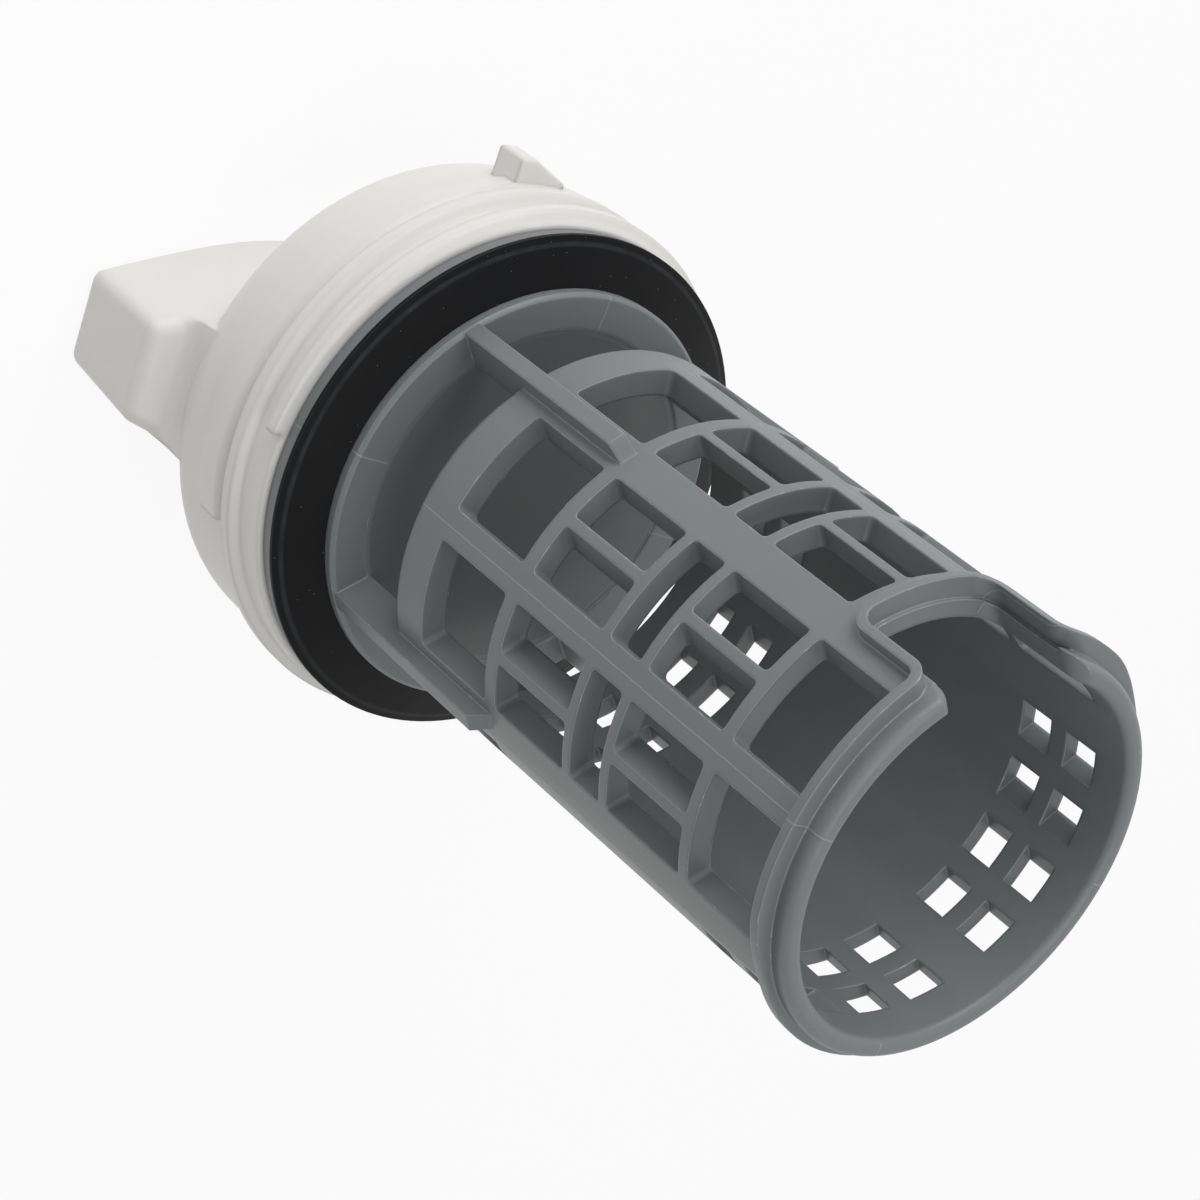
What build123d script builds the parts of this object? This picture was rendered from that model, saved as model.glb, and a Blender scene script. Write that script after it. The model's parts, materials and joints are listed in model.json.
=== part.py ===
from build123d import *
from math import cos, radians, sin, sqrt, tan
import os

# Drain pump filter of a washing machine: a strainer basket with its sealing ring, and the screw cap
# that swivels on the basket's hub and carries the finger grip.
# The filter is drawn upright on its own axis, in millimetres. Height 0 is the front face of the
# flange; the basket stands above it with its mouth on top, and the cap lies below it.
# Angle 0 is the middle of the top mould slide. The whole filter stands on its grip at the end.

# Basket tube
bore_r = 21.0
mouth_z = 79.0
tube_z = 8.1
shoulder = 2.6
wall_r_rear = 24.2
wall_r_front = 23.8
thin_r_rear = 23.5
thin_r_front = 22.8
shoulder_wall = 0.9

# Lip and raised bead round the mouth and the notch
lip_wall = 2.3
lip_round = 0.9
bead_height = 1.5
bead_width = 1.1
bead_mouth_gap = 2.2
bead_notch_gap = 0.5

# Notch in the mouth, on the left of the top slide
notch_near = -1.7
notch_far = -16.2
notch_depth = 12.7
notch_corner = 1.5
notch_mouth_round = 3.0

# Big windows, all cut along the pull of their mould slide
slide_angles = (0.0, 84.0, -84.0)
rear_ring = 5.0
window_lengths = (12.4, 12.5, 5.2, 12.3, 11.1)
window_barred = (False, True, False, True, False)
ring_widths = (1.9, 1.3, 1.3, 1.5)
spine_half = 2.45
window_far = 14.75
window_far_at_notch = 13.0
window_lean = 30.0
bar_side = 8.9
bar_width = 1.2
window_corner = 0.6
cutter_inside = 13.6
cutter_outside = 31.0

# Small square holes in the thin half of the wall
hole_length = 4.3
hole_width = 4.5
hole_rows = (13.7, 33.4, 53.0, 72.8)
hole_stations = (16.3, 23.5, 65.2, 71.9)
slide_split = 43.0

# Guide ribs
rib_angles = (0.0, 84.0, 180.0, -84.0)
rib_width = 2.15
rib_inset = 0.1
rib_root = 0.4
rib_end = 27.3
rib_ramp = 2.6

# Flange, seat of the sealing ring and rear disc
flange_overlap = 2.2
flange_thick = 1.5
flange_step_r = 21.8
flange_step = 0.35
flange_round = 0.4
seal_thick = 2.5
seal_width = 7.9
seal_edge = 0.45
seal_inset = 0.3
disc_inset = 0.6
disc_thick = 1.8

# Hub of the basket and its snap head inside the cap
hub_r = 8.0
hub_bore_r = 5.2
snap_r = 9.0
snap_thick = 2.0
snap_lead = 1.5
slot_width = 1.6
slot_length = 11.0
boss_reach = 14.0

# Cap shell
cap_depth = 13.6
cap_r = 32.2
cap_wall = 2.6
skirt_chamfer = 0.35
dome_depth = 9.5
dome_round = 6.5
roof = 3.0
boss_wall = 3.0
boss_gap = 1.5

# Screw thread on the cap
thread_height = 1.2
pitch = 5.0
thread_root = 4.0
thread_top = 1.5
thread_sink = 0.8
thread_start = 46.0
thread_start_gap = 0.9
thread_turns = 1.5
collar_height = 0.8
collar_width = 5.8
collar_slope = 3.5
collar_angle = 72.0
collar_sweep = 300.0

# Stop lug on the cap
lug_angle = -37.5
lug_top = 2.2
lug_foot = 8.0
lug_length = 4.5
lug_height = 2.5
lug_drop = 0.8
lug_round = 0.4

# Finger grip
grip_angle = 53.1
grip_reach = 34.6
grip_overhang = 1.2
grip_depth = 18.5
overhang_depth = 17.2
waist_drop = 1.6
waist_inset = 0.9
grip_flank = ((0.0, 12.0), (13.0, 11.6), (26.5, 8.4), (38.0, 4.7))
grip_draft = 3.0
grip_round = 1.8
grip_wall = 3.4
grip_sink = 0.6

# Clearances
running = 0.05
end_play = 0.3
seal_fit = 0.05

lip_r = bore_r + lip_wall
bead_root_r = bore_r + lip_wall / 2
bead_r = wall_r_front + bead_height
thin_bead_r = thin_r_front + bead_height
bead_z = mouth_z - bead_mouth_gap - bead_width / 2
rib_inner_r = bore_r + rib_root
crest_r = cap_r + thread_height
collar_r = cap_r + collar_height
waist_r = cap_r - waist_inset
seal_r = cap_r - seal_inset
seat_r = seal_r - seal_width
flange_r = seat_r + flange_overlap
rib_r = flange_r - rib_inset
disc_r = cap_r - disc_inset
disc_front_z = -flange_thick - seal_thick
disc_rear_z = disc_front_z - disc_thick
cap_front_z = disc_rear_z - end_play
cap_rear_z = cap_front_z - cap_depth
dome_z = cap_rear_z - dome_depth
grip_end_z = dome_z - grip_depth
overhang_z = grip_end_z + overhang_depth
waist_z = overhang_z + waist_drop
boss_front_z = -flange_thick - boss_gap
boss_shoulder_z = boss_front_z - boss_reach
snap_front_z = boss_shoulder_z - end_play
hub_end_z = snap_front_z - snap_thick - snap_lead
body_z = tube_z + shoulder
thread_front_z = cap_front_z - thread_start_gap
thread_rear_z = thread_front_z - pitch * thread_turns
recess_r = snap_r + 2 * end_play
recess_z = hub_end_z - 2 * end_play
boss_r = recess_r + boss_wall


def side_plane(angle):
    """Plane through the axis whose sketch X is the radius at this angle and Y the height."""
    a = radians(angle)
    return Plane(origin=(0, 0, 0), x_dir=(cos(a), sin(a), 0), z_dir=(sin(a), -cos(a), 0))


def pull_plane(angle):
    """Plane facing the pull of a mould slide: sketch X runs sideways and Y is the height."""
    a = radians(angle)
    return Plane(origin=(0, 0, 0), x_dir=(-sin(a), cos(a), 0), z_dir=(cos(a), sin(a), 0))


def rim_outline(notch_gap, mouth_gap):
    """Wall below the mouth and round the notch, kept back from both edges by the two gaps."""
    half = 2 * bore_r
    top = mouth_z - mouth_gap
    near = notch_near + notch_gap
    far = notch_far - notch_gap
    floor = mouth_z - notch_depth - notch_gap
    with BuildSketch(Plane.XY) as outline:
        with BuildLine():
            Polyline((-half, 0), (-half, top), (far, top), (far, floor), (near, floor), (near, top),
                     (half, top), (half, 0), close=True)
        make_face()
        corners = outline.vertices().group_by(Axis.Y)
        fillet(corners[-1].sort_by(Axis.X)[1:3], radius=notch_mouth_round - notch_gap)
        fillet(outline.vertices().group_by(Axis.Y)[1], radius=notch_corner + notch_gap)
    return outline.sketch


def window_cutters(length, far_edge, barred, side):
    """Cutters for one window between two rings, on one side of a slide that pulls along X."""
    lean = tan(radians(window_lean))
    far_x = sqrt(wall_r_rear**2 - far_edge**2)
    panes = [(spine_half, far_edge, lean)]
    if barred:
        panes = [(spine_half, bar_side - bar_width / 2, 0), (bar_side + bar_width / 2, far_edge, lean)]
    cutters = []
    for near, far, slope in panes:
        far_inside, far_outside = [far + (x - far_x) * slope for x in (cutter_inside, cutter_outside)]
        with BuildPart() as cutter:
            with BuildSketch():
                Polygon((cutter_inside, side * near), (cutter_outside, side * near),
                        (cutter_outside, side * far_outside), (cutter_inside, side * far_inside), align=None)
            extrude(amount=length)
            fillet(cutter.edges().filter_by(lambda e: e.bounding_box().size.X > bore_r / 2), radius=window_corner)
        cutters.append(cutter.part)
    return cutters


# Thick half of the wall, which reaches up to the front of the bead and round the notch
bead_outline = pull_plane(0) * rim_outline(bead_notch_gap, bead_mouth_gap)
wall_outline = pull_plane(0) * rim_outline(bead_notch_gap + bead_width, bead_mouth_gap + bead_width)
with BuildPart() as thick_wall:
    with BuildSketch(side_plane(-90)):
        Polygon((bore_r, tube_z), (bore_r + shoulder_wall, tube_z), (wall_r_rear, body_z),
                (wall_r_front, mouth_z), (bore_r, mouth_z), align=None)
    revolve(axis=Axis.Z, revolution_arc=180)
    extrude(bead_outline, amount=2 * bore_r, mode=Mode.INTERSECT)

# Bead round the upper half of the mouth, which turns down into the notch
with BuildPart() as notch_bead:
    with BuildSketch(side_plane(-90)):
        with Locations((bead_root_r, tube_z)):
            Rectangle(bead_r - bead_root_r, mouth_z, align=(Align.MIN, Align.MIN))
    revolve(axis=Axis.Z, revolution_arc=180)
    extrude(bead_outline, amount=2 * bore_r, mode=Mode.INTERSECT)
    extrude(wall_outline, amount=2 * bore_r, mode=Mode.SUBTRACT)

with BuildPart() as basket:
    # Tube with its rounded lip
    with BuildSketch(side_plane(0)) as tube_profile:
        Polygon((bore_r, tube_z), (bore_r + shoulder_wall, tube_z), (thin_r_rear, body_z),
                (thin_r_front, bead_z), (lip_r, bead_z),
                (lip_r, mouth_z), (bore_r, mouth_z), align=None)
        fillet(tube_profile.vertices().group_by(Axis.Y)[-1], radius=lip_round)
    revolve(axis=Axis.Z)
    add(thick_wall.part)
    add(notch_bead.part)

    # Bead round the lower half of the mouth
    with BuildSketch(side_plane(90)):
        with Locations((bead_root_r, mouth_z - bead_mouth_gap)):
            Rectangle(thin_bead_r - bead_root_r, bead_width, align=(Align.MIN, Align.MAX))
    revolve(axis=Axis.Z, revolution_arc=180)

    # Notch, cut along the pull of the top slide
    with BuildSketch(pull_plane(0)):
        Rectangle(4 * bore_r, 2 * mouth_z, align=(Align.CENTER, Align.MIN))
        add(rim_outline(0, -lip_round / 2), mode=Mode.SUBTRACT)
    extrude(amount=2 * bore_r, mode=Mode.SUBTRACT)

    # Flange, seat of the sealing ring and rear disc
    with BuildSketch(side_plane(0)):
        Polygon((0, -flange_thick), (0, -flange_step), (flange_step_r, -flange_step), (flange_step_r, 0),
                (flange_r - flange_round, 0), (flange_r, -flange_round), (flange_r, -flange_thick),
                (seat_r, -flange_thick), (seat_r, disc_front_z), (disc_r, disc_front_z), (disc_r, disc_rear_z),
                (seat_r - flange_thick, disc_rear_z), (seat_r - flange_thick, -flange_thick), align=None)
    revolve(axis=Axis.Z)

    # Guide ribs, which also carry the tube
    for angle in rib_angles:
        with BuildSketch(side_plane(angle)):
            Polygon((rib_inner_r, -flange_step), (rib_r, -flange_step), (rib_r, rib_end),
                    (thin_r_front, rib_end + rib_ramp), (rib_inner_r, rib_end + rib_ramp), align=None)
        extrude(amount=rib_width / 2, both=True)

    # Hub with its snap head
    with BuildSketch(side_plane(0)):
        Polygon((hub_bore_r, -flange_thick), (hub_r, -flange_thick), (hub_r, snap_front_z), (snap_r, snap_front_z),
                (snap_r, snap_front_z - snap_thick), (hub_r - running, hub_end_z), (hub_bore_r, hub_end_z), align=None)
    revolve(axis=Axis.Z)
    with BuildSketch(Plane.XY.offset(hub_end_z)):
        Rectangle(slot_width, 3 * hub_r)
        Rectangle(3 * hub_r, slot_width)
    extrude(amount=slot_length, mode=Mode.SUBTRACT)

    # Big windows, none above the spine of a side slide and none under the notch
    for slide in slide_angles:
        for side in (-1, 1):
            front = body_z + rear_ring
            for length, barred, ring in zip(window_lengths, window_barred, ring_widths + (0,)):
                beside_notch = front + length > mouth_z - notch_depth and slide <= 0
                far_edge = window_far_at_notch if beside_notch and slide < 0 else window_far
                if slide * side <= 0 and not (beside_notch and slide == 0 and side < 0):
                    for cutter in window_cutters(length, far_edge, barred, side):
                        add(Location((0, 0, front), (0, 0, slide)) * cutter, mode=Mode.SUBTRACT)
                front += length + ring

    # Small square holes, cut along the pull of the slide that forms them
    for side in (-1, 1):
        for row in hole_rows:
            angle = 180 + side * row
            pull = 180 if row < slide_split else 180 + side * (180 - slide_angles[1])
            with BuildSketch(pull_plane(pull)):
                for station in hole_stations:
                    with Locations((bore_r * sin(radians(angle - pull)), station)):
                        Rectangle(hole_width * cos(radians(angle - pull)), hole_length)
            extrude(amount=2 * bore_r, mode=Mode.SUBTRACT)

with BuildPart() as gasket:
    with BuildSketch(side_plane(0)):
        Polygon((seat_r + seal_fit, -flange_thick), (flange_r, -flange_thick), (seal_r, disc_front_z + seal_edge),
                (seal_r, disc_front_z), (seat_r + seal_fit, disc_front_z), align=None)
    revolve(axis=Axis.Z)


def grip_plan(widen):
    """Outline of the finger grip seen along the axis, with its flanks moved out by widen."""
    right = [(x, y + widen) for x, y in grip_flank]
    left = [(-x, y) for x, y in reversed(right[1:])]
    tip_x, tip_y = right[-1]
    with BuildSketch() as plan:
        with BuildLine():
            Spline(*left, *right)
            Spline(*[(x, -y) for x, y in left + right])
            for x in (-tip_x, tip_x):
                Line((x, -tip_y), (x, tip_y))
        make_face()
    return plan.sketch


def grip_solid(wall):
    """Finger grip along X between two drafted flanks and two undercut ends, or its core for a wall."""
    end_z = grip_end_z + wall
    root_z = cap_front_z - cap_wall
    with BuildPart() as grip:
        for z in (end_z, root_z):
            with BuildSketch(Plane.XY.offset(z)):
                add(grip_plan((z - grip_end_z) * tan(radians(grip_draft)) - wall))
        loft()
        with BuildSketch(Plane.XZ):
            ends = ((grip_reach - wall, end_z), (grip_reach + grip_overhang - wall, overhang_z),
                    (waist_r - wall, waist_z), (waist_r - grip_sink - wall, cap_rear_z + grip_sink),
                    (0, cap_rear_z + grip_sink))
            Polygon(*ends, *[(-x, z) for x, z in reversed(ends[:-1])], align=None)
        extrude(amount=2 * grip_reach, both=True, mode=Mode.INTERSECT)
        if wall == 0:
            fillet(grip.edges().filter_by(lambda e: e.bounding_box().max.Z < cap_rear_z), radius=grip_round)
    return Rot(0, 0, grip_angle) * grip.part


# Thread of the cap, a trapezoid swept backwards from its run-out at the front edge
with BuildPart() as thread:
    with BuildLine():
        helix = Helix(pitch, pitch * thread_turns, cap_r, center=(0, 0, thread_rear_z))
    with BuildSketch(Plane(origin=helix @ 0, x_dir=(1, 0, 0), z_dir=helix % 0)):
        Polygon((-thread_sink, -thread_root / 2), (crest_r - cap_r, -thread_top / 2),
                (crest_r - cap_r, thread_top / 2), (-thread_sink, thread_root / 2), align=None)
    sweep(path=helix, is_frenet=True)
    with BuildSketch(Plane.XY.offset(cap_front_z)):
        Circle(2 * cap_r)
    extrude(amount=-2 * cap_depth, mode=Mode.INTERSECT)

# Stop lug of the cap, steep on one side and sloping on the other
with BuildPart() as lug:
    with BuildSketch(Plane.XY.offset(cap_rear_z - lug_drop)):
        Polygon((cap_r - cap_wall / 2, -lug_foot / 2), (crest_r, -lug_foot / 2), (crest_r + lug_height, lug_top / 2),
                (crest_r + lug_height, lug_top * 3 / 2), (cap_r - cap_wall / 2, lug_top * 3 / 2), align=None)
    extrude(amount=lug_length)
    fillet(lug.edges().filter_by(lambda e: e.center().X > crest_r), radius=lug_round)

with BuildPart() as cap:
    # Skirt and rounded rear shoulder
    with BuildSketch(side_plane(0)) as shell_profile:
        Polygon((0, cap_front_z), (cap_r - skirt_chamfer, cap_front_z), (cap_r, cap_front_z - skirt_chamfer),
                (cap_r, dome_z), (0, dome_z), align=None)
        fillet(shell_profile.vertices().group_by(Axis.Y)[0].sort_by(Axis.X)[-1], radius=dome_round)
    revolve(axis=Axis.Z)
    add(grip_solid(0))
    add(Rot(0, 0, thread_start - 360 * thread_turns) * thread.part)

    # Plain collar behind the thread, open where the thread runs in
    with BuildSketch(side_plane(collar_angle - collar_sweep)):
        collar_rear_z = cap_rear_z - collar_slope / 2
        Polygon((cap_r - thread_sink, cap_rear_z + collar_width), (collar_r, cap_rear_z + collar_width),
                (collar_r, collar_rear_z + collar_slope), (cap_r - thread_sink, collar_rear_z), align=None)
    revolve(axis=Axis.Z, revolution_arc=collar_sweep)
    add(Rot(0, 0, lug_angle) * lug.part)

    # Cavity of the shell and core of the grip
    with BuildSketch(side_plane(0)) as cavity_profile:
        Polygon((0, cap_front_z), (cap_r - cap_wall, cap_front_z), (cap_r - cap_wall, dome_z + roof),
                (0, dome_z + roof), align=None)
        fillet(cavity_profile.vertices().group_by(Axis.Y)[0].sort_by(Axis.X)[-1], radius=dome_round - roof)
    revolve(axis=Axis.Z, mode=Mode.SUBTRACT)
    add(grip_solid(grip_wall), mode=Mode.SUBTRACT)

    # Boss that runs on the hub, with a recess behind its shoulder for the snap head
    with BuildSketch(side_plane(0)):
        Polygon((hub_r + running, boss_front_z), (boss_r, boss_front_z), (boss_r, dome_z), (0, dome_z),
                (0, recess_z), (recess_r, recess_z), (recess_r, boss_shoulder_z), (hub_r + running, boss_shoulder_z),
                align=None)
    revolve(axis=Axis.Z)

# Stand the filter on its grip, mouth up
os.makedirs("parts", exist_ok=True)
for name, piece in {"filter_basket": basket, "gasket": gasket, "cap": cap}.items():
    piece.part.move(Location((0, 0, -grip_end_z)))
    piece.part.label = name
    export_step(piece.part, f"parts/{name}.step")
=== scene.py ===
import json
import math

import bmesh
import bpy
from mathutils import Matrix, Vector


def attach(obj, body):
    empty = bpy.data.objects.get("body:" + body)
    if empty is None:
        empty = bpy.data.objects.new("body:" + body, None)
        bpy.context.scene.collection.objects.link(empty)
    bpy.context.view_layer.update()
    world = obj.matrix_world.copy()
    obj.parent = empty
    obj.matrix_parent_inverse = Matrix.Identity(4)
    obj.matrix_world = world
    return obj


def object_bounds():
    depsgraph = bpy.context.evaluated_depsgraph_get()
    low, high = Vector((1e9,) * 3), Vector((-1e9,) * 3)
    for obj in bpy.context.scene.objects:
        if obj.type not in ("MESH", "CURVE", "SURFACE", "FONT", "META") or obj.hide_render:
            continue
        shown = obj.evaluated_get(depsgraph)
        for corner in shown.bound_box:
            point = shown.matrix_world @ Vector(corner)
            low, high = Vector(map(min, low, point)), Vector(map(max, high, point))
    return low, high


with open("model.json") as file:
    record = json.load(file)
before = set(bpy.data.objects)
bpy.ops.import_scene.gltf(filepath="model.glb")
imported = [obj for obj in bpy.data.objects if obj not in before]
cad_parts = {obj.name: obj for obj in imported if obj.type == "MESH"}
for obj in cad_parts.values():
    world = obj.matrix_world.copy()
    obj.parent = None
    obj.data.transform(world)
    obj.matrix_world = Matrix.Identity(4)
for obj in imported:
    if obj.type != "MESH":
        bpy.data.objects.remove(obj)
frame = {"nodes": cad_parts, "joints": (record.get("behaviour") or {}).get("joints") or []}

bl_info = {
    "name": "Washer pump filter",
    "version": (1, 0, 0),
    "blender": (4, 5, 0),
    "location": "View3D > Sidebar > Pump filter",
    "description": "Moulded plastic and rubber finishes for a drain pump filter, with a studio",
    "category": "Object",
}

# The filter's own frame: its axis from the cap to the mouth, and the pull of the top mould slide
BOX_AT_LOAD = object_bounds()
SWIVEL = frame["joints"][0]
AXIS = Vector(SWIVEL["axis"]).normalized()
FLANGE_FACE = Vector(SWIVEL["pos_m"])
TOP_PULL = Vector((1.0, 0.0, 0.0))
SIDE_PULL = AXIS.cross(TOP_PULL)
MM = 0.001
WHITE = (1.0, 1.0, 1.0, 1.0)

# Degrees past which an edge stays sharp beside a trim, and the camera's sensor in millimetres
CREASE_ANGLE = 30
SENSOR_WIDTH = 36.0

# Basket in millimetres from its axis and from the flange face, as in the solids
BORE_RADIUS = 21.0
WALL_RADIUS = 23.8
LIP_RADIUS = 23.3
MOUTH_HEIGHT = 79.0
BEAD_RADIUS = 25.3
LOW_BEAD_RADIUS = 24.3
BEAD_REAR = 75.2
BEAD_FRONT = 77.3
NOTCH_SIDE = -1.7
NOTCH_ROUND = 3.0

# Where the fillet of the lip's corner comes in along the side of the notch:
# height, share of its full radius, and outer radius of the lip there
CORNER_ROOT = ((75.2, 0.4, WALL_RADIUS), (75.9, 0.7, 23.6))

# Thread and collar of the cap, likewise, with angles in degrees from the top pull
SKIRT_RADIUS = 32.15
COLLAR_FRONT = -13.6
THREAD_REAR = -13.5
THREAD_START = 46.0
PITCH = 5.0
GROOVE_ANGLES = range(76, -150, -4)
GROOVE_FADE = -134

# Dark specks on the cap: angle, height and size, and how far from the axis they lie
SPECK_RADIUS = 32.6
CAP_SPECKS = ((11.1, -15.1, 0.3), (41.1, -13.2, 0.25), (-26.9, -7.5, 0.22))


def filter_point(across, side, height):
    """Point in the row frame, from millimetres along the top pull, the side pull and the axis."""
    return FLANGE_FACE + (TOP_PULL * across + SIDE_PULL * side + AXIS * height) * MM


def polar_point(radius, turn, height):
    """Point in the row frame, from a radius and a height in millimetres and a turn in radians."""
    return filter_point(radius * math.cos(turn), radius * math.sin(turn), height)


def loft(mesh, sections):
    """Adds a closed solid through these sections, each a loop of as many points."""
    loops = [[mesh.verts.new(point) for point in section] for section in sections]
    count = len(loops[0])
    faces = [mesh.faces.new(loops[0]), mesh.faces.new(loops[-1])]
    for before, after in zip(loops, loops[1:]):
        for k in range(count):
            n = (k + 1) % count
            faces.append(mesh.faces.new((before[k], before[n], after[n], after[k])))
    bmesh.ops.recalc_face_normals(mesh, faces=faces)


def cut_away(node, body, name, solids):
    """Cuts solids, each given by its sections, out of a CAD node and keeps its creases sharp."""
    shape = bmesh.new()
    for sections in solids:
        loft(shape, sections)
    mesh = bpy.data.meshes.new(name)
    shape.to_mesh(mesh)
    shape.free()
    cutter = bpy.data.objects.new(name, mesh)
    bpy.context.scene.collection.objects.link(cutter)
    cutter.hide_render = True
    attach(cutter, body)
    piece = frame["nodes"][node]
    trim = piece.modifiers.new(name, "BOOLEAN")
    trim.operation = "DIFFERENCE"
    trim.solver = "EXACT"
    trim.object = cutter
    creases = piece.modifiers.new("creases", "EDGE_SPLIT")
    creases.split_angle = math.radians(CREASE_ANGLE)


def linear(colour):
    """Colour socket value of a screen colour."""
    return tuple(c / 12.92 if c <= 0.04045 else ((c + 0.055) / 1.055)**2.4
                 for c in colour) + (1.0,)


def tinted(colour, tint):
    """Colour socket value of another one times a number, or times red, green and blue shares."""
    shares = tint if isinstance(tint, tuple) else (tint,) * 3
    return tuple(min(1.0, c * share) for c, share in zip(colour, shares)) + (1.0,)


class Wire:
    """Output socket of a shader node. Arithmetic on it adds Math nodes to its tree."""

    def __init__(self, graph, socket):
        self.graph = graph
        self.socket = socket

    def math(self, operation, *values):
        """Result of a Math node with this operation on the given values."""
        return self.graph.node("ShaderNodeMath", {"operation": operation}, dict(enumerate(values)))

    def __add__(self, other):
        return self.math("ADD", self, other)

    def __radd__(self, other):
        return self.math("ADD", other, self)

    def __sub__(self, other):
        return self.math("SUBTRACT", self, other)

    def __rsub__(self, other):
        return self.math("SUBTRACT", other, self)

    def __mul__(self, other):
        return self.math("MULTIPLY", self, other)

    def __rmul__(self, other):
        return self.math("MULTIPLY", other, self)

    def __truediv__(self, other):
        return self.math("DIVIDE", self, other)

    def __rtruediv__(self, other):
        return self.math("DIVIDE", other, self)

    def __abs__(self):
        return self.math("ABSOLUTE", self)


class Graph:
    """Node tree of a material or of the world."""

    def __init__(self, tree):
        self.tree = tree

    def node(self, kind, settings=None, inputs=None, output=0):
        """Adds a node, sets it up, feeds its sockets and returns one of its outputs."""
        made = self.tree.nodes.new(kind)
        for key, value in (settings or {}).items():
            setattr(made, key, value)
        for key, value in (inputs or {}).items():
            self.feed(made.inputs[key], value)
        return Wire(self, made.outputs[output])

    def feed(self, socket, value):
        """Links a wire to a socket, or sets the socket to a value."""
        if isinstance(value, Wire):
            self.tree.links.new(value.socket, socket)
        else:
            socket.default_value = value

    def vector_math(self, operation, first, second, output="Vector"):
        """Result of a Vector Math node with this operation on two vectors."""
        return self.node("ShaderNodeVectorMath", {"operation": operation},
                         {0: first, 1: second}, output)

    def seen_by_camera(self):
        """Mask that is 1 for what the camera sees, also reflected or through a clear piece."""
        rays = [self.node("ShaderNodeLightPath", output=name)
                for name in ("Is Camera Ray", "Is Glossy Ray", "Is Transmission Ray")]
        return rays[0] + rays[1] + rays[2]


class Finish(Graph):
    """Procedural material whose details are placed in the filter's own frame, in millimetres."""

    def __init__(self, name):
        self.material = bpy.data.materials.new(name)
        self.material.use_nodes = True
        super().__init__(self.material.node_tree)
        self.shader = self.tree.nodes["Principled BSDF"]
        self.place = self.node("ShaderNodeTexCoord", output="Object")

    def set(self, name, value):
        """Feeds one of the surface shader's sockets with a value or a wire."""
        self.feed(self.shader.inputs[name], value)

    def distance_along(self, direction):
        """Distance from the flange face along a direction."""
        offset = self.vector_math("SUBTRACT", self.place, FLANGE_FACE)
        return self.vector_math("DOT_PRODUCT", offset, direction, "Value") / MM

    def cylinder(self):
        """Radius, angle in degrees from the top pull, and height along the axis."""
        top, side, height = [self.distance_along(d) for d in (TOP_PULL, SIDE_PULL, AXIS)]
        radius = top.math("SQRT", top * top + side * side)
        angle = side.math("ARCTAN2", side, top) * math.degrees(1)
        return radius, angle, height

    def noise(self, size, detail=2.0, stretch=(1.0, 1.0, 1.0)):
        """Noise from 0 to 1 whose bumps are about this size across."""
        return self.node("ShaderNodeTexNoise", {"noise_dimensions": "3D"},
                         {"Vector": self.vector_math("MULTIPLY", self.place, stretch),
                          "Scale": 1 / (size * MM), "Detail": detail})

    def fade(self, value, start, end):
        """Smooth change from 0 to 1 while the value goes from start to end."""
        return self.node("ShaderNodeMapRange", {"interpolation_type": "SMOOTHSTEP"},
                         {"Value": value, "From Min": start, "From Max": end})

    def blend(self, share, first, second):
        """Colour that goes from the first to the second with the share."""
        # On a colour Mix node, inputs 6 and 7 are its colours and output 2 is its result
        return self.node("ShaderNodeMix", {"data_type": "RGBA"}, {0: share, 6: first, 7: second}, 2)

    def bump(self, height, depth, normal):
        """Normal of a surface that the height from 0 to 1 raises by up to this depth."""
        return self.node("ShaderNodeBump", None,
                         {"Height": height, "Distance": depth * MM, "Normal": normal})

    def rounded(self, radius, samples=8):
        """Normal that turns smoothly over edges, as on a moulded part with this edge radius."""
        return self.node("ShaderNodeBevel", {"samples": samples}, {"Radius": radius * MM})

    def edges(self, rounded, start=0.985, end=0.86):
        """Mask of the edges, which grows as the rounded normal leaves the flat one (cosines)."""
        flat = self.node("ShaderNodeNewGeometry", output="Normal")
        return self.fade(self.vector_math("DOT_PRODUCT", rounded, flat, "Value"), start, end)

    def spot(self, radius, angle, height, size, core=0.4):
        """Mask of a speck at a place on the part, full over the core's share of its size."""
        centre = polar_point(radius, math.radians(angle), height)
        gap = self.vector_math("DISTANCE", self.place, centre, "Value")
        return self.fade(gap, size * MM, size * MM * core)

    def specks(self, size, share, spacing=6.0, rim=0.1, core=0.05):
        """Mask of round specks in a share of the cells, which are spacing sizes wide."""
        cells = {"Vector": self.place, "Scale": 1 / (size * spacing * MM), "Randomness": 1.0}
        gap = self.node("ShaderNodeTexVoronoi", None, cells, "Distance")
        colour = self.node("ShaderNodeTexVoronoi", None, cells, "Color")
        pick = self.node("ShaderNodeSeparateColor", None, {"Color": colour}, "Red")
        return self.fade(gap, rim, core) * pick.math("LESS_THAN", pick, share)

    def satin(self, roughness, swing, grain, depth, normal):
        """Sets a roughness that swings with the grain, and returns the normal that it raises."""
        self.set("Roughness", roughness + (grain - 0.5) * swing)
        return self.bump(grain, depth, normal)

    def apply(self, node, slot):
        """Gives a CAD node this finish in place of its materials; the slot name is not used."""
        piece = frame["nodes"][node]
        piece.data.materials.clear()
        piece.data.materials.append(self.material)


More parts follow.
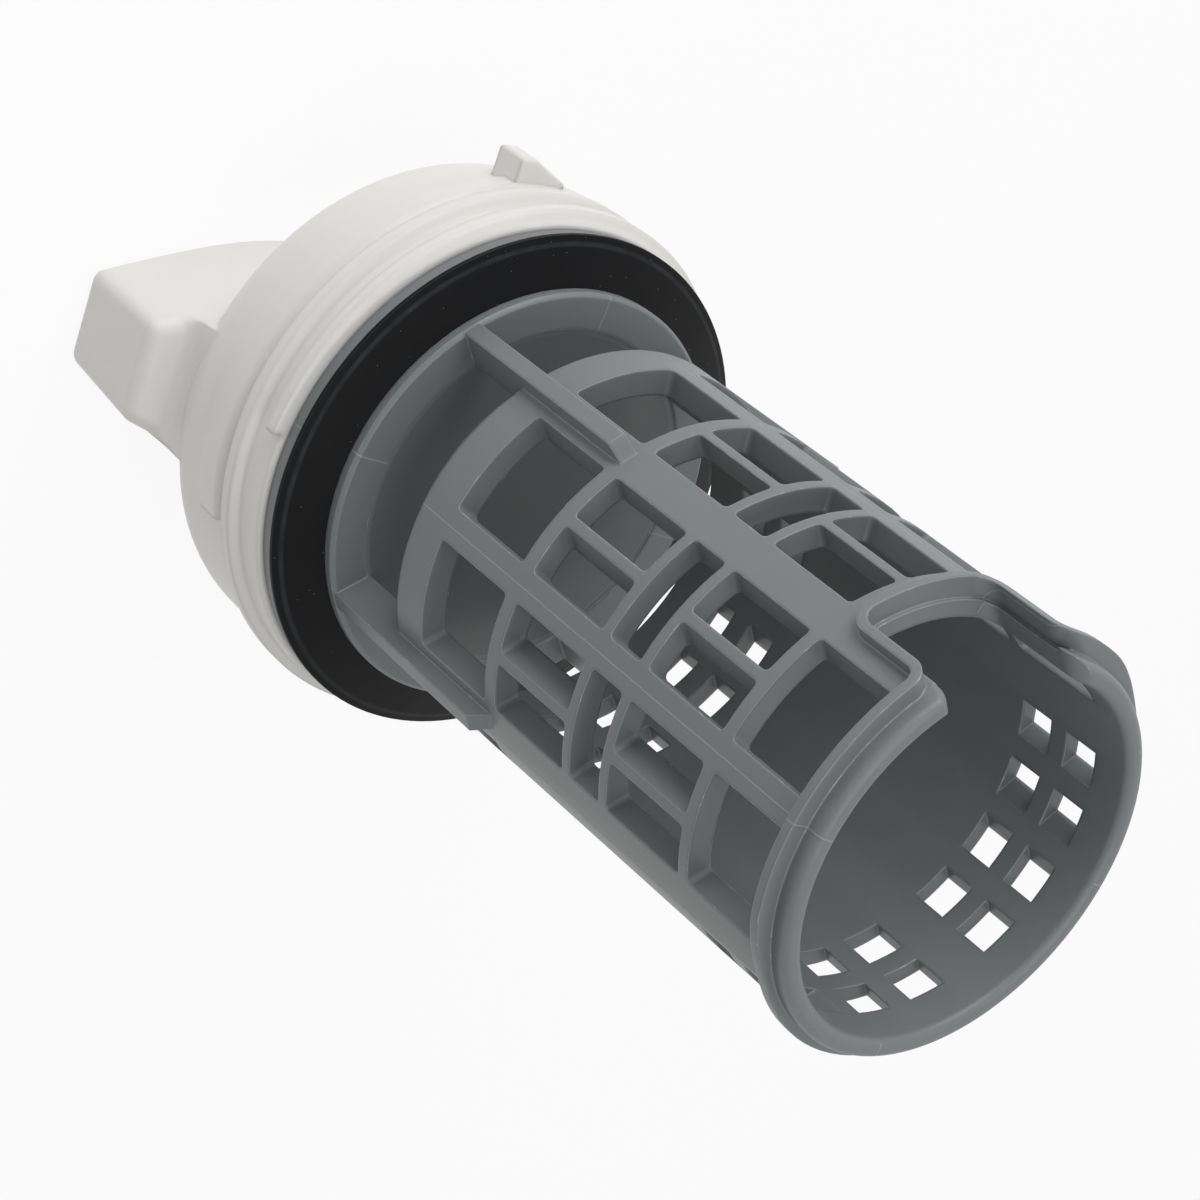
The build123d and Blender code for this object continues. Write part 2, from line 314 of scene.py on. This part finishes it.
class BasketFinish(bpy.types.PropertyGroup):
    shade: bpy.props.FloatVectorProperty(
        name="Gray", description="Screen colour of the gray moulding",
        subtype="COLOR", size=3, default=(0.4762, 0.4902, 0.4935))
    flash_shade: bpy.props.FloatVectorProperty(
        name="Flash", description="Screen colour of the thin flash left on the edges",
        subtype="COLOR", size=3, default=(0.8, 0.81, 0.82))
    gloss_roughness: bpy.props.FloatProperty(
        name="Roughness", description="Roughness of the satin surface",
        default=0.42, subtype="FACTOR")
    edge_radius: bpy.props.FloatProperty(
        name="Edge radius", description="Radius of the moulded edges in millimetres", default=0.5)
    # Painted highlight: width of the pale line painted along the edges, where the flash lies too
    edge_highlight_width: bpy.props.FloatProperty(
        name="Pale edge", description="Width of the pale line along the edges in millimetres",
        default=0.25)
    # Painted shade: share of its brightness that the inside keeps near the closed end
    painted_shade: bpy.props.FloatProperty(
        name="Painted shade", description="Brightness left to the inside near the closed end by residue",
        default=0.66, subtype="FACTOR")
    parting_angle: bpy.props.FloatProperty(
        name="Parting angle", description="Degrees between the top pull and the parting lines",
        default=42.5)


class MouthTrim(bpy.types.PropertyGroup):
    lip_round: bpy.props.FloatProperty(
        name="Corner round", description="Radius of the lip's corner edge in millimetres",
        default=0.9)
    run_out: bpy.props.FloatProperty(
        name="Run-out", description="Degrees over which the bead runs out at each side",
        default=26.0)


class SealFinish(bpy.types.PropertyGroup):
    shade: bpy.props.FloatVectorProperty(
        name="Black", description="Screen colour of the rubber",
        subtype="COLOR", size=3, default=(0.035, 0.037, 0.045))
    # Painted highlight: pale colour of the highlights painted on the edges and on a ring, which the
    # random haze also tints
    haze_and_highlight_shade: bpy.props.FloatVectorProperty(
        name="Highlights", description="Screen colour of scuffs and worn edges",
        subtype="COLOR", size=3, default=(0.3, 0.31, 0.33))
    dust_shade: bpy.props.FloatVectorProperty(
        name="Dust", description="Screen colour of the dust", subtype="COLOR", size=3,
        default=(0.6, 0.6, 0.58))
    gloss_roughness: bpy.props.FloatProperty(
        name="Roughness", description="Roughness of the rubber", default=0.45, subtype="FACTOR")
    sheen_level: bpy.props.FloatProperty(
        name="Reflection", description="How strongly the rubber reflects",
        default=0.1, subtype="FACTOR")
    edge_radius: bpy.props.FloatProperty(
        name="Edge radius", description="Radius of the rubber's edges in millimetres",
        default=0.25)
    # Painted highlight: radius of the pale ring painted near the outer edge
    ring_radius: bpy.props.FloatProperty(
        name="Ring radius", description="Radius of the scuffed ring in millimetres", default=30.9)


class ThreadGroove(bpy.types.PropertyGroup):
    slope: bpy.props.FloatProperty(
        name="Groove slope", description="Width of the slope up to the collar in millimetres",
        default=1.3)


class CapFinish(bpy.types.PropertyGroup):
    shade: bpy.props.FloatVectorProperty(
        name="White", description="Screen colour of the white moulding",
        subtype="COLOR", size=3, default=(0.895, 0.893, 0.885))
    speck_shade: bpy.props.FloatVectorProperty(
        name="Specks", description="Screen colour of the dark specks",
        subtype="COLOR", size=3, default=(0.45, 0.42, 0.38))
    gloss_roughness: bpy.props.FloatProperty(
        name="Roughness", description="Roughness of the satin surface",
        default=0.4, subtype="FACTOR")
    edge_radius: bpy.props.FloatProperty(
        name="Edge radius", description="Radius of the moulded edges in millimetres", default=1.1)


class Studio(bpy.types.PropertyGroup):
    backdrop: bpy.props.FloatVectorProperty(
        name="Backdrop", description="Screen colour of the floor",
        subtype="COLOR", size=3, default=(0.97, 0.97, 0.97))
    floor_roughness: bpy.props.FloatProperty(
        name="Floor roughness", description="Roughness of the floor",
        default=0.8, subtype="FACTOR")
    floor_size: bpy.props.FloatProperty(
        name="Floor size", description="Side of the square floor", default=4.0, unit="LENGTH")
    whitening: bpy.props.FloatProperty(
        name="Whitening", description="Share of plain white in the floor that the camera sees",
        default=0.9, subtype="FACTOR")
    surround: bpy.props.FloatProperty(
        name="Surround light", description="Strength of the even light around", default=0.33)
    top_power: bpy.props.FloatProperty(
        name="Top lamp", description="Power of the large lamp overhead",
        default=2.1, unit="POWER")
    top_place: bpy.props.FloatVectorProperty(
        name="Top lamp place", description="Where the lamp overhead hangs",
        subtype="TRANSLATION", size=3, default=(0.1, 0.1, 0.85))
    side_power: bpy.props.FloatProperty(
        name="Side lamp", description="Power of the large lamp beside the notch",
        default=4.1, unit="POWER")
    side_place: bpy.props.FloatVectorProperty(
        name="Side lamp place", description="Where the lamp beside the notch stands",
        subtype="TRANSLATION", size=3, default=(0.64, -0.46, 0.22))
    lamp_size: bpy.props.FloatProperty(
        name="Lamp size", description="Side of each square lamp", default=0.6, unit="LENGTH")
    camera_place: bpy.props.FloatVectorProperty(
        name="Camera place", description="Where the camera stands",
        subtype="TRANSLATION", size=3, default=(0.226411, 0.105113, 0.288696))
    camera_turn: bpy.props.FloatVectorProperty(
        name="Camera turn", description="Camera rotation about X, Y and Z", subtype="EULER", size=3,
        default=(math.radians(-35.7221), math.radians(-35.03), math.radians(-104.4692)))
    lens: bpy.props.FloatProperty(
        name="Lens", description="Focal length in millimetres on a 36 mm sensor", default=89.2976)


class PUMPFILTER_OT_basket(bpy.types.Operator):
    """Finish of the gray strainer basket, with parting lines, flash, painted edge highlights and
    painted shade inside
    """
    bl_idname = "pumpfilter.basket"
    bl_label = "Finish the basket"

    def execute(self, context):
        look = context.scene.filter_basket_finish
        finish = Finish("gray_moulding")
        radius, angle, height = finish.cylinder()
        rounded = finish.rounded(look.edge_radius)
        # Edge mask for the painted highlight and for the flash
        edges = finish.edges(finish.rounded(look.edge_highlight_width))

        # Thin ridge where two mould slides met, on every outer surface
        from_side = abs(abs(angle) - 90.0)
        off_line = abs(from_side - (90.0 - look.parting_angle)) * radius * math.radians(1)
        outside = finish.fade(radius, start=BORE_RADIUS + 0.3, end=BORE_RADIUS + 0.6)
        parting = finish.fade(off_line, start=0.16, end=0.05) * outside
        flash = finish.fade(finish.noise(size=1.3), start=0.6, end=0.68) * edges
        flow = finish.noise(size=14.0, detail=3.0, stretch=(0.35, 1.0, 1.0))
        grain = finish.noise(size=0.35, detail=3.0)

        base = linear(look.shade)
        colour = finish.blend(flow, tinted(base, 0.9), base)
        # Painted highlight: the edges blend towards a pale copy of the gray, standing in for the
        # gleam on their rounding; the parting lines are lightened with it
        colour = finish.blend(edges * 0.8 + parting * 0.5, colour, tinted(base, 1.8))
        # Painted shade: the inside darkens towards the closed end at the flange, standing in for
        # the shade deep in the basket
        inside = finish.fade(radius, start=BORE_RADIUS + 0.3, end=BORE_RADIUS - 0.2)
        painted_shade = inside * finish.fade(height, start=55.0, end=25.0)
        colour = finish.blend(painted_shade, colour, tinted(base, look.painted_shade))
        colour = finish.blend(flash * 0.65, colour, linear(look.flash_shade))
        finish.set("Base Color", colour)
        normal = finish.satin(look.gloss_roughness, 0.16, grain, 0.012, rounded)
        finish.set("Normal", finish.bump(parting, 0.05, normal))
        finish.apply("filter_basket", "gray_moulding")
        return {"FINISHED"}


class PUMPFILTER_OT_mouth(bpy.types.Operator):
    """Rounds the lip's corner beside the notch and runs the raised bead out on both sides"""
    bl_idname = "pumpfilter.mouth"
    bl_label = "Trim the mouth"

    def execute(self, context):
        look = context.scene.filter_mouth_trim
        solids = [self.run_out(side, look.run_out) for side in (-1, 1)]
        solids.append(self.corner(look.lip_round))
        cut_away("filter_basket", "basket", "mouth_trim", solids)
        return {"FINISHED"}

    def run_out(self, side, length):
        """Sections of the wedge that lowers the bead towards one side of the mouth."""
        steps = 16
        past = 1.5  # degrees past the side where the wedge ends
        reach = 3  # how far it reaches out past the bead
        skin = 0.02  # how far its thin end stays off the bead
        sections = []
        for k in range(steps + 2):
            share = min(k / steps, 1.0)
            ease = share * share * (3 - 2 * share)
            turn = math.radians(90 - length * (1 - share) + past * max(0, k - steps)) * side
            inner = BEAD_RADIUS + skin - (BEAD_RADIUS - LOW_BEAD_RADIUS) * ease
            corners = ((inner, BEAD_REAR), (inner + reach, BEAD_REAR),
                       (inner + reach, BEAD_FRONT), (inner, BEAD_FRONT))
            sections.append([polar_point(radius, turn, z) for radius, z in corners])
        return sections

    def corner(self, radius):
        """Sections of the fillet on the lip's outer edge, which fades down the notch's side."""
        steps = 10
        arc = [math.radians(18 * k) for k in range(6)]
        clear = 1.5  # how far the cutter reaches past the lip
        lift = 0.45  # how far its path rises past the lip, so that the fillet runs out
        centre_y = NOTCH_SIDE + NOTCH_ROUND
        centre_z = MOUTH_HEIGHT + lift - NOTCH_ROUND
        path = [(NOTCH_SIDE, height, math.pi, share * radius, outside)
                for height, share, outside in CORNER_ROOT]
        for k in range(steps + 1):
            turn = math.pi - math.radians(90) * k / steps
            path.append((centre_y + NOTCH_ROUND * math.cos(turn),
                         centre_z + NOTCH_ROUND * math.sin(turn), turn, radius, LIP_RADIUS))
        sections = []
        for y, z, turn, fillet, outside in path:
            profile = [(-fillet, clear)]
            profile += [(fillet * (math.sin(a) - 1), fillet * (math.cos(a) - 1)) for a in arc]
            profile += [(clear, -fillet), (clear, clear)]
            section = []
            for off, rise in profile:
                side = y + math.cos(turn) * off
                across = math.sqrt(outside**2 - side**2) + rise
                section.append(filter_point(across, side, z + math.sin(turn) * off))
            sections.append(section)
        return sections


class PUMPFILTER_OT_seal(bpy.types.Operator):
    """Finish of the black sealing ring, with the dust that clings to rubber"""
    bl_idname = "pumpfilter.seal"
    bl_label = "Finish the sealing ring"

    def execute(self, context):
        look = context.scene.filter_seal_finish
        finish = Finish("black_rubber")
        rounded = finish.rounded(look.edge_radius)
        edges = finish.edges(rounded)
        dust = finish.specks(size=0.12, share=0.15)
        haze = finish.noise(size=5.0, detail=4.0)
        grain = finish.noise(size=0.25, detail=2.0)
        radius = finish.cylinder()[0]
        # Painted highlight: a pale ring near the outer edge, broken up by noise
        ring = finish.fade(abs(radius - look.ring_radius), start=0.4, end=0.1)
        ring_highlight = ring * finish.noise(size=3.0, detail=3.0)
        # Random tone from the haze, plus painted highlights on the edges and on the ring
        haze_and_highlight = haze * 0.04 + edges * 0.4 + ring_highlight * 0.5
        colour = finish.blend(haze_and_highlight, linear(look.shade), linear(look.haze_and_highlight_shade))
        colour = finish.blend(dust * 0.6, colour, linear(look.dust_shade))
        finish.set("Base Color", colour)
        finish.set("Specular IOR Level", look.sheen_level)
        finish.set("Roughness", look.gloss_roughness + (haze - 0.5) * 0.2)
        finish.set("Normal", finish.bump(grain, 0.01, rounded))
        finish.apply("gasket", "black_rubber")
        return {"FINISHED"}


class PUMPFILTER_OT_groove(bpy.types.Operator):
    """Opens the groove between the screw thread and the collar behind it"""
    bl_idname = "pumpfilter.groove"
    bl_label = "Open the thread groove"

    def execute(self, context):
        look = context.scene.filter_groove
        front_reach, front_lean = 1.5, 0.9  # outwards and towards the mouth, along the thread
        rear_reach = 1.1  # outwards, at the top of the slope up to the collar
        rise = 0.1  # millimetres per degree by which the far end leaves the skirt
        sections = []
        for angle in GROOVE_ANGLES:
            foot = min(COLLAR_FRONT, THREAD_REAR - PITCH * (THREAD_START - angle) / 360)
            floor = SKIRT_RADIUS + max(0, GROOVE_FADE - angle) * rise
            corners = ((floor, foot), (floor + front_reach, foot + front_lean),
                       (floor + rear_reach, foot - look.slope))
            sections.append([polar_point(radius, math.radians(angle), z) for radius, z in corners])
        cut_away("cap", "cap", "groove_trim", [sections])
        return {"FINISHED"}


class PUMPFILTER_OT_cap(bpy.types.Operator):
    """Finish of the white screw cap, with its few dark specks"""
    bl_idname = "pumpfilter.cap"
    bl_label = "Finish the cap"

    def execute(self, context):
        look = context.scene.filter_cap_finish
        finish = Finish("white_moulding")
        rounded = finish.rounded(look.edge_radius)
        specks = finish.specks(size=0.07, share=0.02)
        for angle, height, size in CAP_SPECKS:
            spot = finish.spot(SPECK_RADIUS, angle, height, size)
            specks = specks.math("MAXIMUM", specks, spot)
        cloud = finish.noise(size=18.0, detail=3.0)
        grain = finish.noise(size=0.4, detail=3.0)
        base = linear(look.shade)
        colour = finish.blend(cloud, base, tinted(base, (0.97, 0.955, 0.925)))
        colour = finish.blend(specks * 0.55, colour, linear(look.speck_shade))
        finish.set("Base Color", colour)
        finish.set("Normal", finish.satin(look.gloss_roughness, 0.14, grain, 0.012, rounded))
        finish.apply("cap", "white_moulding")
        return {"FINISHED"}


class PUMPFILTER_OT_stage(bpy.types.Operator):
    """Pale floor, soft lamps and the camera"""
    bl_idname = "pumpfilter.stage"
    bl_label = "Set up the studio"

    def execute(self, context):
        look = context.scene.filter_studio
        self.add_floor(look)
        self.light_surround(look)
        self.add_lamp("top_lamp", look.top_place, look.lamp_size, look.top_power)
        self.add_lamp("side_lamp", look.side_place, look.lamp_size, look.side_power)
        camera = bpy.data.objects.new("camera", bpy.data.cameras.new("camera"))
        context.scene.collection.objects.link(camera)
        camera.data.sensor_width = SENSOR_WIDTH
        camera.data.lens = look.lens
        camera.location = look.camera_place
        camera.rotation_euler = look.camera_turn
        context.scene.camera = camera
        context.scene.view_settings.view_transform = "Standard"
        return {"FINISHED"}

    def add_floor(self, look):
        """Pale floor that keeps the shadow and looks nearly white to the camera."""
        half = look.floor_size / 2
        corners = [(-half, -half, 0), (half, -half, 0), (half, half, 0), (-half, half, 0)]
        mesh = bpy.data.meshes.new("floor")
        mesh.from_pydata(corners, [], [(0, 1, 2, 3)])
        floor = bpy.data.objects.new("floor", mesh)
        bpy.context.scene.collection.objects.link(floor)
        paint = Finish("floor_paint")
        paint.set("Base Color", linear(look.backdrop))
        paint.set("Roughness", look.floor_roughness)
        plain = Wire(paint, paint.shader.outputs[0])
        glow = paint.node("ShaderNodeEmission", None, {"Color": WHITE, "Strength": 1.0})
        share = paint.seen_by_camera() * look.whitening
        mixed = paint.node("ShaderNodeMixShader", None, {0: share, 1: plain, 2: glow})
        paint.feed(paint.tree.nodes["Material Output"].inputs["Surface"], mixed)
        mesh.materials.append(paint.material)

    def light_surround(self, look):
        """Even light from all sides, behind which the camera sees plain white."""
        world = bpy.data.worlds.new("surround")
        world.use_nodes = True
        bpy.context.scene.world = world
        sky = Graph(world.node_tree)
        even, white = [sky.node("ShaderNodeBackground", None, {"Color": WHITE, "Strength": light})
                       for light in (look.surround, 1.0)]
        mixed = sky.node("ShaderNodeMixShader", None, {0: sky.seen_by_camera(), 1: even, 2: white})
        sky.feed(sky.tree.nodes["World Output"].inputs["Surface"], mixed)

    def add_lamp(self, name, place, size, power):
        """Square soft lamp that shines at the middle of the filter."""
        lamp = bpy.data.objects.new(name, bpy.data.lights.new(name, "AREA"))
        bpy.context.scene.collection.objects.link(lamp)
        lamp.data.shape = "SQUARE"
        lamp.data.size = size
        lamp.data.energy = power
        lamp.location = place
        middle = (BOX_AT_LOAD[0] + BOX_AT_LOAD[1]) / 2
        lamp.rotation_euler = (middle - lamp.location).to_track_quat("-Z", "Y").to_euler()


class PUMPFILTER_PT_panel(bpy.types.Panel):
    """Finishes, trims and studio of the pump filter"""
    bl_idname = "PUMPFILTER_PT_panel"
    bl_label = "Pump filter"
    bl_space_type = "VIEW_3D"
    bl_region_type = "UI"
    bl_category = "Pump filter"

    def draw(self, context):
        for settings, (_, operator) in STEPS.items():
            box = self.layout.box()
            look = getattr(context.scene, settings)
            for name in look.__annotations__:
                box.prop(look, name)
            box.operator(operator.bl_idname)


# Settings on the scene, with their group and the operator that reads them
STEPS = {
    "filter_basket_finish": (BasketFinish, PUMPFILTER_OT_basket),
    "filter_mouth_trim": (MouthTrim, PUMPFILTER_OT_mouth),
    "filter_seal_finish": (SealFinish, PUMPFILTER_OT_seal),
    "filter_groove": (ThreadGroove, PUMPFILTER_OT_groove),
    "filter_cap_finish": (CapFinish, PUMPFILTER_OT_cap),
    "filter_studio": (Studio, PUMPFILTER_OT_stage),
}
CLASSES = (*(made for pair in STEPS.values() for made in pair), PUMPFILTER_PT_panel)


def register():
    for made in CLASSES:
        bpy.utils.register_class(made)
    for settings, (group, _) in STEPS.items():
        setattr(bpy.types.Scene, settings, bpy.props.PointerProperty(type=group))


def unregister():
    for settings in STEPS:
        delattr(bpy.types.Scene, settings)
    for made in reversed(CLASSES):
        bpy.utils.unregister_class(made)


def dress_filter():
    """Registers the add-on and runs every operator in order."""
    register()
    bpy.ops.pumpfilter.basket()
    bpy.ops.pumpfilter.mouth()
    bpy.ops.pumpfilter.seal()
    bpy.ops.pumpfilter.groove()
    bpy.ops.pumpfilter.cap()
    bpy.ops.pumpfilter.stage()


if __name__ == "__main__":
    dress_filter()
